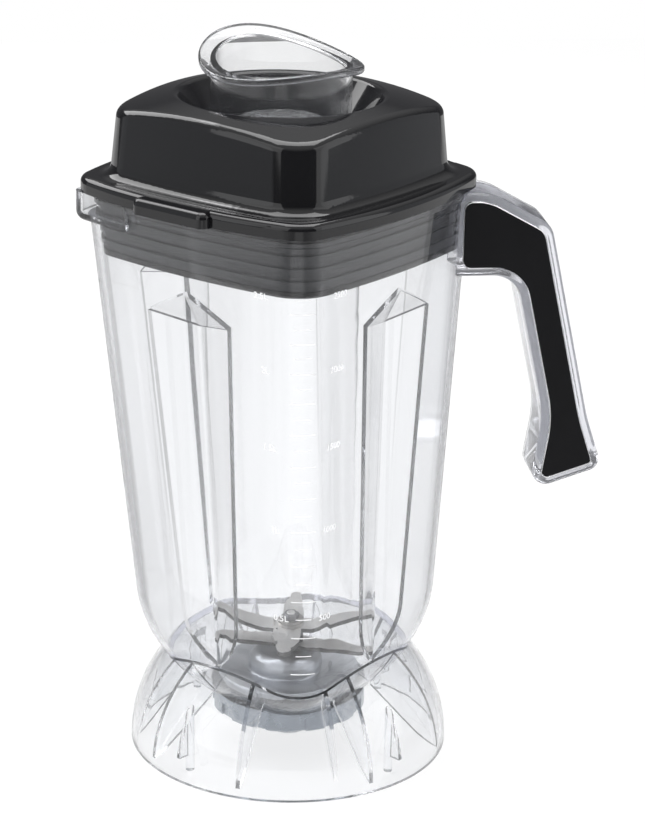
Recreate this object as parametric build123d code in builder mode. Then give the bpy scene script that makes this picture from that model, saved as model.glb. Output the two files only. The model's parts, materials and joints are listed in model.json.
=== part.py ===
from build123d import *
import os
from math import asin, cos, degrees, radians, sin, sqrt

# Blender jar with its lid, filler cap and blade assembly, in millimetres with +Z up.
# The origin is where the blade's axis meets the table. The handle points along +X and the
# spout along -X, so the square body stands on its corner when it is seen along +Y.

# Jar body: a square with bowed sides, measured from its centre to the middle of a side
rim_level = 273.0
waist_level = 78.0
floor_level = 26.5
floor_thickness = 4.5
rim_apothem = 70.6
waist_apothem = 57.9
corner_radius = 20.0
bow_radius = 400.0
wall = 3.5
bowl_radius = 74.0
mouth_offset = 7.4
bead_height = 4.0
bead_reach = 1.2

# Spout: the jar's corner at the rim, drawn out to a sharper one
spout_corner_radius = 6.0
spout_depth = 14.0
spout_round = 5.0
spout_width = 64.0

# Flutes: V-shaped grooves pressed into the four walls, each with a gabled head
flute_depth = 7.8
flute_flank_angle = 17.4
flute_foot_level = 52.0
flute_gable_rise = 11.5
flute_gable_run = 16.5
flute_headroom = 7.5
flute_nose_radius = 2.0

# Skirt: the flared foot with its fins and posts
foot_radius = 76.0
skirt_curve = 67.0
skirt_thickness = 3.0
skirt_arc = 80.0
fin_thickness = 2.0
fin_turn = 25.0
fin_root_radius = 41.0
fin_knee_radius = 62.0
fin_knee_level = 11.5
fin_tip_level = 3.0
slim_fin_turn = 11.0
slim_fin_root_radius = 52.0
post_turn = 39.0
post_circle = 65.0
post_radius = 2.0
post_foot_level = 2.0
post_web_level = 10.0

# Handle, measured from the jar's corner at the rim
handle_thickness = 28.8
handle_root_inset = 8.5
arm_top_drop = 1.0
arm_depth = 40.5
arm_crest_reach = 8.0
handle_reach = 37.0
handle_shoulder_drop = 17.0
handle_width = 21.0
handle_slope = 0.222
handle_knee_drop = 110.0
handle_heel_reach = 66.0
handle_heel_drop = 135.5
handle_toe_reach = 31.0
handle_toe_drop = 147.0
handle_edge_round = 3.0
handle_crest_round = 25.0
handle_shoulder_round = 12.0
handle_outer_knee_round = 90.0
handle_heel_round = 6.0
handle_toe_round = 7.0
handle_inner_knee_round = 55.0
handle_bend_round = 14.0
grip_border = 4.0
grip_depth = 2.5
grip_gap = 0.15
grip_edge_round = 0.8

# Lid
brim_apothem = 75.0
brim_thickness = 7.0
brim_corner_radius = 16.0
brim_bow_radius = 230.0
brim_edge_round = 3.0
tab_width = 42.0
tab_reach = 4.0
block_foot_apothem = 63.0
block_top_apothem = 59.0
block_edge_round = 5.0
block_foot_round = 6.0
crown_level = 321.0
crown_radius = 260.0
lid_wall = 3.0
recess_radius = 47.0
recess_floor_radius = 34.5
recess_lip_round = 2.5
plug_depth = 28.0
plug_lip_height = 2.5
plug_lip_gap = 0.8
seal_thickness = 1.6
seal_ridge_count = 4
seal_ridge_height = 2.0
seal_ridge_reach = 1.5
seal_clearance = 0.3
seat_gap = 0.05

# Filler cap
cap_seat_level = 297.0
cap_radius = 32.0
cap_neck_radius = 29.5
cap_neck_depth = 11.0
cap_wall = 2.6
cap_clearance = 0.3
cap_height = 32.4
cap_rim_radius = 37.2
cap_rim_thickness = 3.0
cap_rim_curve = 100.0
cap_rim_low_offset = 11.3
cap_rim_turn = 116.0
cap_rim_round = 1.0
cap_punt_radius = 19.5
cap_punt_height = 16.0

# Bearing housing, its gasket and its retaining ring
flange_radius = 33.0
flange_thickness = 2.5
gasket_thickness = 1.5
gasket_radius = 30.0
neck_radius = 20.0
neck_length = 11.0
nose_radius = 19.0
nose_height = 8.5
nose_shoulder_height = 2.0
flange_edge_round = 1.0
nose_lip = 2.0
nose_bore_radius = 5.0
neck_clearance = 0.15
ring_radius = 36.5
ring_height = 9.7
ring_notch_count = 12
ring_notch_width = 8.0
ring_notch_depth = 1.2
ring_notch_height = 6.2

# Shaft, bearings and seal
shaft_radius = 4.0
bearing_radius = 11.0
bearing_width = 7.0
bearing_ring_thickness = 1.9
ball_count = 7
ball_radius = 1.9
ball_play = 0.03
fit_gap = 0.02
seal_height = 3.5
seal_running_gap = 0.05
sleeve_length = 4.5
sleeve_radius = 5.5
circlip_thickness = 1.2
circlip_reach = 2.0
circlip_groove = 0.8
collar_radius = 6.5
collar_height = 2.2
collar_gap = 0.8
shaft_flat = 3.2
flat_gap = 0.05
thread_radius = 2.5

# Blades
blade_thickness = 2.0
blade_hub_radius = 9.0
blade_root_width = 13.0
blade_tip_width = 6.0
blade_bend_radius = 12.0
blade_bend_round = 8.0
blade_reach = 37.0
upper_blade_turn = -12.0
upper_blade_rise = 8.5
flat_wing_rise = 0.8
lower_blade_turn = -22.0
lower_blade_drop = 1.0
blade_spacer_height = 6.8
blade_spacer_radius = 7.0
washer_radius = 7.4
washer_height = 1.6
washer_step_radius = 6.8
washer_step_height = 1.3
nut_across_flats = 8.0
nut_height = 2.6
nut_round = 0.5
shaft_end = 0.4

# Drive socket
socket_radius = 10.5
socket_height = 11.5
socket_gap = 1.0
socket_depth = 6.0
socket_tip_radius = 6.6
socket_chamfer = 1.0

# Levels that follow from the sizes above
floor_top = floor_level + floor_thickness
plug_level = rim_level - plug_depth
brim_top = rim_level + brim_thickness
flute_apex_level = plug_level - flute_headroom
flute_head_level = flute_apex_level - flute_gable_run
gasket_top = floor_top + gasket_thickness
flange_top = gasket_top + flange_thickness
nose_top = flange_top + nose_height
neck_foot = floor_level - neck_length
seal_top = nose_top - nose_lip
upper_bearing_top = seal_top - seal_height
sleeve_top = upper_bearing_top - bearing_width
lower_bearing_top = sleeve_top - sleeve_length
circlip_top = lower_bearing_top - bearing_width
lower_blade_level = nose_top + collar_gap + collar_height
blade_spacer_level = lower_blade_level + blade_thickness
upper_blade_level = blade_spacer_level + blade_spacer_height
washer_level = upper_blade_level + blade_thickness
nut_level = washer_level + washer_height + washer_step_height
shaft_top = nut_level + nut_height + shaft_end
socket_top = neck_foot - socket_gap
socket_foot = socket_top - socket_height
shaft_foot = socket_foot + socket_depth
cap_rim_level = cap_seat_level + cap_height

wall_taper = (rim_apothem - waist_apothem) / (rim_level - waist_level)
skirt_centre = foot_radius - skirt_curve
skirt_middle = skirt_curve - skirt_thickness / 2
corners = [0, 90, 180, 270]
recess_level = crown_level - crown_radius + sqrt(crown_radius**2 - recess_radius**2)
seal_space = seal_clearance + seal_ridge_reach + seal_thickness
ball_circle = (shaft_radius + bearing_radius) / 2
lid_axis = Axis((-mouth_offset, 0, 0), (0, 0, 1))
lid_upright = Plane(origin=(-mouth_offset, 0, 0), x_dir=(1, 0, 0), z_dir=(0, -1, 0))


def level(z):
    """Plane of the jar's section at a height: its axes are square to the walls."""
    return Plane(origin=(-mouth_offset * z / rim_level, 0, z), x_dir=(1, 1, 0), z_dir=(0, 0, 1))


def lid_level(z):
    """Plane of the lid's section at a height: the lid stands upright on the mouth."""
    return Plane(origin=(-mouth_offset, 0, z), x_dir=(1, 1, 0), z_dir=(0, 0, 1))


def upright(turn, z=0.0):
    """Vertical plane through the blade's axis: its x is the radius and its y is the height."""
    outward = (cos(radians(turn)), sin(radians(turn)), 0)
    return Plane(origin=(0, 0, z), x_dir=outward, z_dir=(outward[1], -outward[0], 0))


def wall_apothem(z, inset):
    """Centre to the middle of a side at a height, for the outside moved in by an inset."""
    drop = max(waist_level - z, 0)
    curve = bowl_radius - sqrt((bowl_radius - inset) ** 2 - drop**2)
    return waist_apothem + wall_taper * (z - waist_level) - curve


def corner_reach(apothem, corner):
    """Centre to the rounded corner of a bowed square."""
    middle = apothem - bow_radius
    centre = (middle + sqrt(2 * (bow_radius - corner) ** 2 - middle**2)) / 2
    return centre * sqrt(2) + corner


def bowed_square(apothem, corner, bow):
    """Square whose sides bow outwards, with rounded corners."""
    middle = apothem - bow
    reach = (middle + sqrt(2 * bow**2 - middle**2)) / 2
    with BuildSketch() as section:
        with BuildLine():
            for quarter in range(4):
                side = [Vector(reach, -reach), Vector(apothem, 0), Vector(reach, reach)]
                ThreePointArc(*[point.rotate(Axis.Z, 90 * quarter) for point in side])
        make_face()
        fillet(section.vertices(), corner)
    return section.sketch


def jar_section(z, inset):
    """Section of the jar's outside, or of its hollow with the wall as inset."""
    return bowed_square(wall_apothem(z, inset), corner_radius - inset, bow_radius)


def jar_form(inset, foot, head):
    """Solid of the body: straight tapered walls on a rounded bowl."""
    bowl_curve = bowl_radius - inset
    bowl_turn = asin((waist_level - foot) / bowl_curve)
    bowl_levels = [waist_level - bowl_curve * sin(bowl_turn * share) for share in (1, 0.75, 0.5, 0.25, 0)]
    with BuildPart() as form:
        for z in bowl_levels:
            with BuildSketch(level(z)):
                add(jar_section(z, inset))
        loft()
        for z in (waist_level, head):
            with BuildSketch(level(z)):
                add(jar_section(z, inset))
        loft(ruled=True)
    return form.part


def crease_apothem(z):
    """Centre to the crease of a flute: it leans less than the wall and runs out on the bowl."""
    head = wall_apothem(flute_head_level, 0) - flute_depth
    foot = wall_apothem(flute_foot_level, 0)
    return foot + (head - foot) * (z - flute_foot_level) / (flute_head_level - flute_foot_level)


def flute(quarter, grow):
    """Wedge of one flute, grown by the wall for the ridge that it leaves inside the jar."""
    spread = 1 / sin(radians(flute_flank_angle)) * cos(radians(flute_flank_angle))
    deep = grow / cos(radians(flute_flank_angle))
    reach = flute_depth * 2 + deep
    crown = rim_level

    def place(out, along, z):
        """Point at a distance out of the centre and along the wall."""
        return level(z).from_local_coords(Vector(out, along, 0).rotate(Axis.Z, 90 * quarter))

    with BuildPart() as wedge:
        for z in (floor_level, crown):
            turned = level(z).rotated((0, 0, 90 * quarter))
            tip = crease_apothem(z) - deep
            with BuildSketch(turned):
                with BuildLine():
                    end = (tip + reach, reach * spread)
                    Polyline((tip, 0), end, (end[0], -end[1]), close=True)
                make_face()
        loft(ruled=True)
        crease = wedge.edges().sort_by_distance((-mouth_offset / 2, 0, (floor_level + crown) / 2))[0]
        fillet(crease, flute_nose_radius + grow)
        apex = place(wall_apothem(flute_apex_level, 0), 0, flute_apex_level)
        valley = place(crease_apothem(flute_head_level), 0, flute_head_level)
        shoulder_level = flute_apex_level - flute_gable_rise
        shoulder_out = wall_apothem(shoulder_level, 0)
        half_width = (shoulder_out - crease_apothem(shoulder_level)) * spread
        for side in (1, -1):
            shoulder = place(shoulder_out, side * half_width, shoulder_level)
            roof = (valley - apex).cross(shoulder - apex).normalized()
            upward = roof if roof.Z > 0 else -roof
            split(bisect_by=Plane(origin=apex + upward * grow, z_dir=upward), keep=Keep.BOTTOM)
    return wedge.part


def handle_outline(inset):
    """Side view of the handle, or of the grip's pocket with an inset."""
    root = corner_reach(rim_apothem, corner_radius) - mouth_offset
    shoulder_x = root + handle_reach
    shoulder_z = rim_level - handle_shoulder_drop
    outer_knee_x = shoulder_x + handle_slope * (handle_knee_drop - handle_shoulder_drop)
    bend_z = rim_level - arm_depth
    bend_x = shoulder_x + handle_slope * (shoulder_z - bend_z) - handle_width
    corners_and_rounds = [
        ((root - handle_root_inset, bend_z), 0),
        ((root - handle_root_inset, rim_level - arm_top_drop), 0),
        ((root + arm_crest_reach, rim_level - arm_top_drop), handle_crest_round),
        ((shoulder_x, shoulder_z), handle_shoulder_round),
        ((outer_knee_x, rim_level - handle_knee_drop), handle_outer_knee_round),
        ((root + handle_heel_reach, rim_level - handle_heel_drop), handle_heel_round),
        ((root + handle_toe_reach, rim_level - handle_toe_drop), handle_toe_round),
        ((outer_knee_x - handle_width, rim_level - handle_knee_drop), handle_inner_knee_round),
        ((bend_x, bend_z), handle_bend_round),
    ]
    with BuildSketch() as outline:
        with BuildLine():
            points = [point for point, _ in corners_and_rounds]
            rounds = [corner_round for _, corner_round in corners_and_rounds]
            FilletPolyline(*points, radius=rounds, close=True)
        make_face()
        if inset:
            offset(amount=-inset, kind=Kind.INTERSECTION)
            fillet(outline.vertices().sort_by(Axis.X)[:2], grip_border)
    return outline.sketch


def fin(turn, root_radius):
    """Web between the jar's bowl and the skirt, with a free edge that sweeps out to the foot."""
    root_level = floor_level + floor_thickness
    top_level = sqrt(skirt_middle**2 - (root_radius - skirt_centre) ** 2)
    tip_turn = degrees(asin(fin_tip_level / skirt_middle))
    top_turn = degrees(asin(top_level / skirt_middle))
    with BuildPart() as web:
        with BuildSketch(upright(turn)):
            with BuildLine():
                skirt_line = CenterArc((skirt_centre, 0), skirt_middle, tip_turn, top_turn - tip_turn)
                edge = Line((root_radius, root_level), (fin_knee_radius, fin_knee_level))
                TangentArc(edge @ 1, skirt_line @ 0, tangent=edge % 1)
                Line(skirt_line @ 1, edge @ 0)
            make_face()
        extrude(amount=fin_thickness / 2, both=True)
    return web.part


def slim_fin(turn):
    """Steeper web beside each corner."""
    top_level = sqrt(skirt_middle**2 - (slim_fin_root_radius - skirt_centre) ** 2)
    tip_turn = degrees(asin(fin_tip_level * 2 / skirt_middle))
    top_turn = degrees(asin(top_level / skirt_middle))
    with BuildPart() as web:
        with BuildSketch(upright(turn)):
            with BuildLine():
                skirt_line = CenterArc((skirt_centre, 0), skirt_middle, tip_turn, top_turn - tip_turn)
                edge = Line((slim_fin_root_radius, floor_top + floor_thickness), skirt_line @ 0)
                Line(skirt_line @ 1, edge @ 0)
            make_face()
        extrude(amount=fin_thickness / 2, both=True)
    return web.part


def post(turn):
    """Round post under the skirt's shoulder, with the web that ties it to the skirt."""
    head = sqrt(skirt_middle**2 - (post_circle - skirt_centre) ** 2)
    web_turn = degrees(asin(post_web_level / skirt_middle))
    head_turn = degrees(asin(head / skirt_middle))
    with BuildPart() as pillar:
        with BuildSketch(upright(turn)):
            with BuildLine():
                skirt_line = CenterArc((skirt_centre, 0), skirt_middle, web_turn, head_turn - web_turn)
                Polyline(skirt_line @ 1, (post_circle, post_web_level), skirt_line @ 0)
            make_face()
        extrude(amount=fin_thickness / 2, both=True)
        spot = upright(turn).from_local_coords((post_circle, 0, 0))
        with BuildSketch(Plane.XY.offset(post_foot_level)):
            with Locations((spot.X, spot.Y)):
                Circle(post_radius)
        extrude(amount=head - post_foot_level)
    return pillar.part


def spout_sketch(inset):
    """Plan of the drawn-out corner at the rim."""
    reach = corner_reach(rim_apothem, corner_radius)
    with BuildSketch() as plan:
        add(bowed_square(rim_apothem + bead_reach - inset, spout_corner_radius - inset / 2, bow_radius))
        with Locations(Vector(reach, 0).rotate(Axis.Z, 135)):
            Circle(spout_width / 2 - inset, mode=Mode.INTERSECT)
    return plan.sketch


def plug_form(inset):
    """Solid that follows the jar's mouth from the foot of the plug up to the rim."""
    with BuildPart() as form:
        for z in (plug_level, rim_level):
            with BuildSketch(level(z)):
                add(jar_section(z, wall + inset))
        loft(ruled=True)
    return form.part


def block_form(inset):
    """Solid of the lid's raised block under its domed crown, moved in by an inset."""
    with BuildPart() as form:
        with BuildSketch(lid_level(rim_level)):
            add(bowed_square(block_foot_apothem - inset, corner_radius - inset, bow_radius))
        with BuildSketch(lid_level(crown_level)):
            add(bowed_square(block_top_apothem - inset, corner_radius - inset, bow_radius))
        loft(ruled=True)
        with Locations((-mouth_offset, 0, crown_level - crown_radius)):
            Sphere(crown_radius - inset, mode=Mode.INTERSECT)
    return form.part


def funnel_form(grow, foot):
    """Solid of the funnel and of the hole for the filler cap, grown by a wall."""
    slope = (recess_radius - recess_floor_radius) / (recess_level - cap_seat_level)
    top = crown_level + lid_wall
    hole = cap_neck_radius + cap_clearance + grow
    floor = cap_seat_level - grow
    floor_edge = recess_floor_radius + grow - slope * grow / 2
    with BuildPart() as form:
        with BuildSketch(lid_upright):
            with BuildLine():
                Polyline(
                    (0, foot),
                    (hole, foot),
                    (hole, floor),
                    (floor_edge, floor),
                    (floor_edge + slope * (top - floor), top),
                    (0, top),
                    close=True,
                )
            make_face()
        revolve(axis=lid_axis)
    return form.part


def wing(turn, z, rise, reach):
    """One wing of a blade: a strip bent up or down, trimmed to its plan."""
    half_root = blade_root_width / 2
    half_tip = blade_tip_width / 2
    middle = (blade_bend_radius + reach) / 2
    with BuildPart() as strip:
        with BuildSketch(upright(turn, z)):
            with BuildLine():
                FilletPolyline((0, 0), (blade_bend_radius, 0), (reach, rise), radius=blade_bend_round)
            trace(line_width=blade_thickness)
        extrude(amount=half_root, both=True)
        plan = Plane(origin=(0, 0, z), x_dir=upright(turn).x_dir, z_dir=(0, 0, 1))
        with BuildSketch(plan):
            with BuildLine():
                root = Line((0, half_root), (0, -half_root))
                heel = Line(root @ 1, (blade_bend_radius, -half_root))
                edge = Line(heel @ 1, (reach - half_tip, -half_tip))
                tip = ThreePointArc(edge @ 1, (reach - half_tip / 4, 0), (reach - blade_tip_width, half_tip))
                back = ThreePointArc(tip @ 1, (middle, half_root * 0.9), (blade_bend_radius, half_root))
                Line(back @ 1, root @ 0)
            make_face()
        extrude(amount=reach, both=True, mode=Mode.INTERSECT)
    return strip.part


def blade_hole():
    """Hole with two flats that turns with the shaft."""
    with BuildSketch() as hole:
        Circle(shaft_radius + fit_gap)
        Rectangle(shaft_radius * 3, (shaft_flat + flat_gap) * 2, mode=Mode.INTERSECT)
    return hole.sketch


def ring(inner, outer):
    """Plan of a plain ring round the blade's axis."""
    with BuildSketch() as plan:
        Circle(outer)
        Circle(inner, mode=Mode.SUBTRACT)
    return plan.sketch


def race(inner, outer):
    """Half section of a bearing ring, with the groove in which the balls run."""
    with BuildSketch() as profile:
        with Locations(((inner + outer) / 2, 0)):
            Rectangle(outer - inner, bearing_width)
        with Locations((ball_circle, 0)):
            Circle(ball_radius + ball_play, mode=Mode.SUBTRACT)
    return profile.sketch


os.makedirs("parts", exist_ok=True)

# The clear jar, without its handle and skirt
outside = jar_form(0, floor_level, rim_level)
hollow = jar_form(wall, floor_top, rim_level + bead_height)
grooves = [flute(quarter, 0) for quarter in range(4)]
ridges = [flute(quarter, wall) for quarter in range(4)]

with BuildPart() as jar_hollow:
    add(hollow)
    for ridge in ridges:
        add(ridge, mode=Mode.SUBTRACT)
    with BuildSketch(level(rim_level + bead_height)):
        add(spout_sketch(wall))
    extrude(amount=-spout_depth)

with BuildPart() as spout:
    with BuildSketch(level(rim_level)):
        add(spout_sketch(0))
    extrude(amount=-spout_depth)
    fillet(spout.faces().sort_by(Axis.Z)[0].edges(), spout_round)

with BuildPart() as vessel:
    add(outside)
    for groove in grooves:
        add(groove, mode=Mode.SUBTRACT)
    with BuildSketch(level(rim_level)):
        add(bowed_square(rim_apothem + bead_reach, corner_radius + bead_reach, bow_radius))
    extrude(amount=-bead_height)
    add(spout.part)

with BuildPart() as jar:
    add(vessel.part)
    add(jar_hollow.part, mode=Mode.SUBTRACT)
    with BuildSketch(Plane.XY.offset(floor_level)):
        Circle(neck_radius + neck_clearance)
    extrude(amount=floor_thickness, mode=Mode.SUBTRACT)
jar.part.label = "jar"
export_step(jar.part, "parts/jar.step")

# Handle frame: it grows out of the jar's wall, with a pocket in each face
with BuildPart() as handle_frame:
    with BuildSketch(Plane.XZ):
        add(handle_outline(0))
    extrude(amount=handle_thickness / 2, both=True)
    front_edges = handle_frame.faces().sort_by(Axis.Y)[0].edges()
    rear_edges = handle_frame.faces().sort_by(Axis.Y)[-1].edges()
    fillet(front_edges + rear_edges, handle_edge_round)
    for side in (1, -1):
        with BuildSketch(Plane.XZ.offset(side * handle_thickness / 2)):
            add(handle_outline(grip_border))
        extrude(amount=-side * grip_depth, mode=Mode.SUBTRACT)
    add(vessel.part, mode=Mode.SUBTRACT)
handle_frame.part.label = "handle_frame"
export_step(handle_frame.part, "parts/handle_frame.step")

# Foot skirt: it grows out of the jar's bowl, with its fins and posts
with BuildPart() as foot_skirt:
    with BuildSketch(Plane.XZ):
        with BuildLine():
            outer_line = CenterArc((skirt_centre, 0), skirt_curve, 0, skirt_arc)
            inner_line = CenterArc((skirt_centre, 0), skirt_curve - skirt_thickness, 0, skirt_arc)
            Line(outer_line @ 0, inner_line @ 0)
            Line(outer_line @ 1, inner_line @ 1)
        make_face()
    revolve(axis=Axis.Z)
    for corner in corners:
        add(fin(corner + fin_turn, fin_root_radius))
        add(fin(corner - fin_turn, fin_root_radius))
        add(slim_fin(corner + slim_fin_turn))
        add(post(corner + post_turn))
    add(vessel.part, mode=Mode.SUBTRACT)
foot_skirt.part.label = "foot_skirt"
export_step(foot_skirt.part, "parts/foot_skirt.step")

# Grip inlays in the two faces of the handle
for side, label in ((1, "handle_grip_front"), (-1, "handle_grip_rear")):
    with BuildPart() as grip:
        with BuildSketch(Plane.XZ.offset(side * handle_thickness / 2)):
            add(handle_outline(grip_border + grip_gap))
        extrude(amount=-side * (grip_depth - grip_gap))
        outer_face = grip.faces().sort_by(Axis.Y)[0 if side > 0 else -1]
        fillet(outer_face.edges(), grip_edge_round)
    grip.part.label = label
    export_step(grip.part, f"parts/{label}.step")

# Lid: brim with two pull tabs, raised block with a funnel, and the hollow plug
plug_outside = plug_form(seal_space)
plug_hollow = plug_form(seal_space + lid_wall)
block_outside = block_form(0)
block_inside = block_form(lid_wall)
collar_foot = cap_seat_level - cap_neck_depth
funnel = funnel_form(0, collar_foot - lid_wall)
funnel_shell = funnel_form(lid_wall, collar_foot)

with BuildPart() as lid_hollow:
    add(block_inside)
    add(funnel_shell, mode=Mode.SUBTRACT)
    add(plug_hollow)

with BuildPart() as block:
    add(block_outside)
    crown_edges = block.faces().sort_by(Axis.Z)[-1].edges()
    fillet(crown_edges, block_edge_round)
    add(funnel, mode=Mode.SUBTRACT)
    recess_edge = block.edges().filter_by(GeomType.CIRCLE).sort_by(Axis.Z)[-1]
    fillet(recess_edge, recess_lip_round)

with BuildPart() as lid:
    with BuildSketch(lid_level(rim_level)):
        add(bowed_square(brim_apothem, brim_corner_radius, brim_bow_radius))
        with BuildSketch(mode=Mode.ADD):
            RectangleRounded((brim_apothem + tab_reach) * 2, tab_width, tab_reach)
    extrude(amount=brim_thickness)
    fillet(lid.faces().sort_by(Axis.Z)[-1].edges(), brim_edge_round)
    add(block.part)
    ledge_spot = lid_level(brim_top).from_local_coords(((block_foot_apothem + brim_apothem) / 2, 0, 0))
    ledge = lid.faces().sort_by_distance(ledge_spot)[0]
    fillet(ledge.inner_wires()[0].edges(), block_foot_round)
    add(plug_outside)
    with BuildSketch(level(plug_level)):
        add(jar_section(plug_level, wall + plug_lip_gap))
    extrude(amount=plug_lip_height)
    add(lid_hollow.part, mode=Mode.SUBTRACT)
    add(funnel, mode=Mode.SUBTRACT)
lid.part.label = "lid"
export_step(lid.part, "parts/lid.step")

# Lid seal: a ridged ring round the plug
seal_foot = plug_level + plug_lip_height + seat_gap
seal_pitch = (rim_level - seat_gap - seal_ridge_height - seal_foot) / seal_ridge_count
seal_base = plug_form(seal_clearance + seal_ridge_reach)
seal_bore = plug_form(seal_space - seat_gap)
with BuildPart() as lid_seal:
    add(seal_base)
    split(bisect_by=Plane.XY.offset(seal_foot), keep=Keep.TOP)
    split(bisect_by=Plane.XY.offset(rim_level - seat_gap), keep=Keep.BOTTOM)
    for ridge_number in range(seal_ridge_count):
        ridge_foot = seal_foot + seal_pitch * (ridge_number + 0.5)
        with BuildSketch(level(ridge_foot)):
            add(jar_section(ridge_foot, wall + seal_clearance))
        extrude(amount=seal_ridge_height)
    add(seal_bore, mode=Mode.SUBTRACT)
lid_seal.part.label = "lid_seal"
export_step(lid_seal.part, "parts/lid_seal.step")

# Filler cap: a measuring cup with a raised middle and a wavy rim
cap_bore = cap_radius - cap_wall
cap_foot = cap_seat_level - cap_neck_depth
cap_floor = cap_foot + cap_wall
wave_direction = (cos(radians(cap_rim_turn)), sin(radians(cap_rim_turn)), 0)
wave_plane = Plane(
    origin=(-mouth_offset, 0, cap_rim_level),
    x_dir=wave_direction,
    z_dir=(wave_direction[1], -wave_direction[0], 0),
)
with BuildPart() as cap_rim:
    with BuildSketch(wave_plane):
        with Locations((-cap_rim_low_offset, cap_rim_curve)):
            Circle(cap_rim_curve + cap_rim_thickness)
            Circle(cap_rim_curve, mode=Mode.SUBTRACT)
            upper_half = (Align.CENTER, Align.MIN)
            Rectangle(cap_rim_curve * 3, cap_rim_curve * 3, align=upper_half, mode=Mode.SUBTRACT)
    extrude(amount=cap_rim_curve, both=True)
    with Locations((-mouth_offset, 0, cap_rim_level)):
        Cylinder(cap_rim_radius, cap_rim_curve, mode=Mode.INTERSECT)
    wave_edges = cap_rim.edges().sort_by_distance((-mouth_offset, 0, cap_rim_level))
    fillet(wave_edges, cap_rim_round)

with BuildPart() as filler_cap:
    with BuildSketch(lid_upright):
        with BuildLine():
            Polyline(
                (0, cap_foot),
                (cap_neck_radius, cap_foot),
                (cap_neck_radius, cap_seat_level),
                (cap_radius, cap_seat_level),
                (cap_radius, cap_rim_level + cap_rim_curve / 2),
                (0, cap_rim_level + cap_rim_curve / 2),
                close=True,
            )
        make_face()
    revolve(axis=lid_axis)
    with BuildSketch(wave_plane):
        with Locations((-cap_rim_low_offset, cap_rim_curve)):
            Circle(cap_rim_curve + cap_rim_thickness / 2)
    extrude(amount=cap_rim_curve, both=True, mode=Mode.SUBTRACT)
    add(cap_rim.part)
    with BuildSketch(lid_upright):
        with BuildLine():
            Polyline(
                (0, cap_floor + cap_punt_height),
                (cap_punt_radius, cap_floor + cap_punt_height),
                (cap_punt_radius, cap_floor),
                (cap_neck_radius - cap_wall, cap_floor),
                (cap_neck_radius - cap_wall, cap_seat_level),
                (cap_bore, cap_seat_level + cap_wall),
                (cap_bore, cap_rim_level + cap_rim_curve / 2),
                (0, cap_rim_level + cap_rim_curve / 2),
                close=True,
            )
        make_face()
    revolve(axis=lid_axis, mode=Mode.SUBTRACT)
    with BuildSketch(Plane(origin=(-mouth_offset, 0, cap_foot))):
        Circle(cap_punt_radius - cap_wall)
    extrude(amount=cap_punt_height, mode=Mode.SUBTRACT)
filler_cap.part.label = "filler_cap"
export_step(filler_cap.part, "parts/filler_cap.step")

# Bearing housing that holds the blade assembly in the jar's floor
with BuildPart() as bearing_housing:
    with BuildSketch(Plane.XZ):
        with BuildLine():
            nose_shoulder = flange_top + nose_shoulder_height
            nose_curve = nose_top - nose_shoulder
            nose_line = CenterArc((nose_radius - nose_curve, nose_shoulder), nose_curve, 0, 90)
            Polyline(
                nose_line @ 1,
                (nose_bore_radius, nose_top),
                (nose_bore_radius, seal_top),
                (bearing_radius, seal_top),
                (bearing_radius, neck_foot),
                (neck_radius, neck_foot),
                (neck_radius, gasket_top),
                (flange_radius, gasket_top),
                (flange_radius, flange_top),
                (nose_radius, flange_top),
                nose_line @ 0,
            )
        make_face()
        with Locations((bearing_radius, circlip_top)):
            hang = (Align.CENTER, Align.MAX)
            Rectangle(circlip_groove * 2, circlip_thickness, align=hang, mode=Mode.SUBTRACT)
    revolve(axis=Axis.Z)
    circles = bearing_housing.edges().filter_by(GeomType.CIRCLE)
    fillet(circles.filter_by_position(Axis.Z, flange_top - fit_gap, flange_top + fit_gap), flange_edge_round)
bearing_housing.part.label = "bearing_housing"
export_step(bearing_housing.part, "parts/bearing_housing.step")

with BuildPart() as floor_gasket:
    with BuildSketch(Plane.XY.offset(floor_top)):
        add(ring(neck_radius + neck_clearance, gasket_radius))
    extrude(amount=gasket_thickness)
floor_gasket.part.label = "floor_gasket"
export_step(floor_gasket.part, "parts/floor_gasket.step")

# Notched ring that draws the housing down on the floor
with BuildPart() as retaining_ring:
    with BuildSketch(Plane.XY.offset(floor_level)):
        add(ring(neck_radius + neck_clearance, ring_radius))
    extrude(amount=-ring_height)
    with BuildSketch(Plane.XY.offset(floor_level - ring_height)):
        with PolarLocations(ring_radius, ring_notch_count):
            Rectangle(ring_notch_depth * 2, ring_notch_width)
    extrude(amount=ring_notch_height, mode=Mode.SUBTRACT)
retaining_ring.part.label = "retaining_ring"
export_step(retaining_ring.part, "parts/retaining_ring.step")

# Seal, bearings, sleeve and circlip in the housing's bore
with BuildPart() as shaft_seal:
    with BuildSketch(Plane.XY.offset(upper_bearing_top)):
        add(ring(shaft_radius + seal_running_gap, bearing_radius - fit_gap))
    extrude(amount=seal_height)
shaft_seal.part.label = "shaft_seal"
export_step(shaft_seal.part, "parts/shaft_seal.step")

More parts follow.
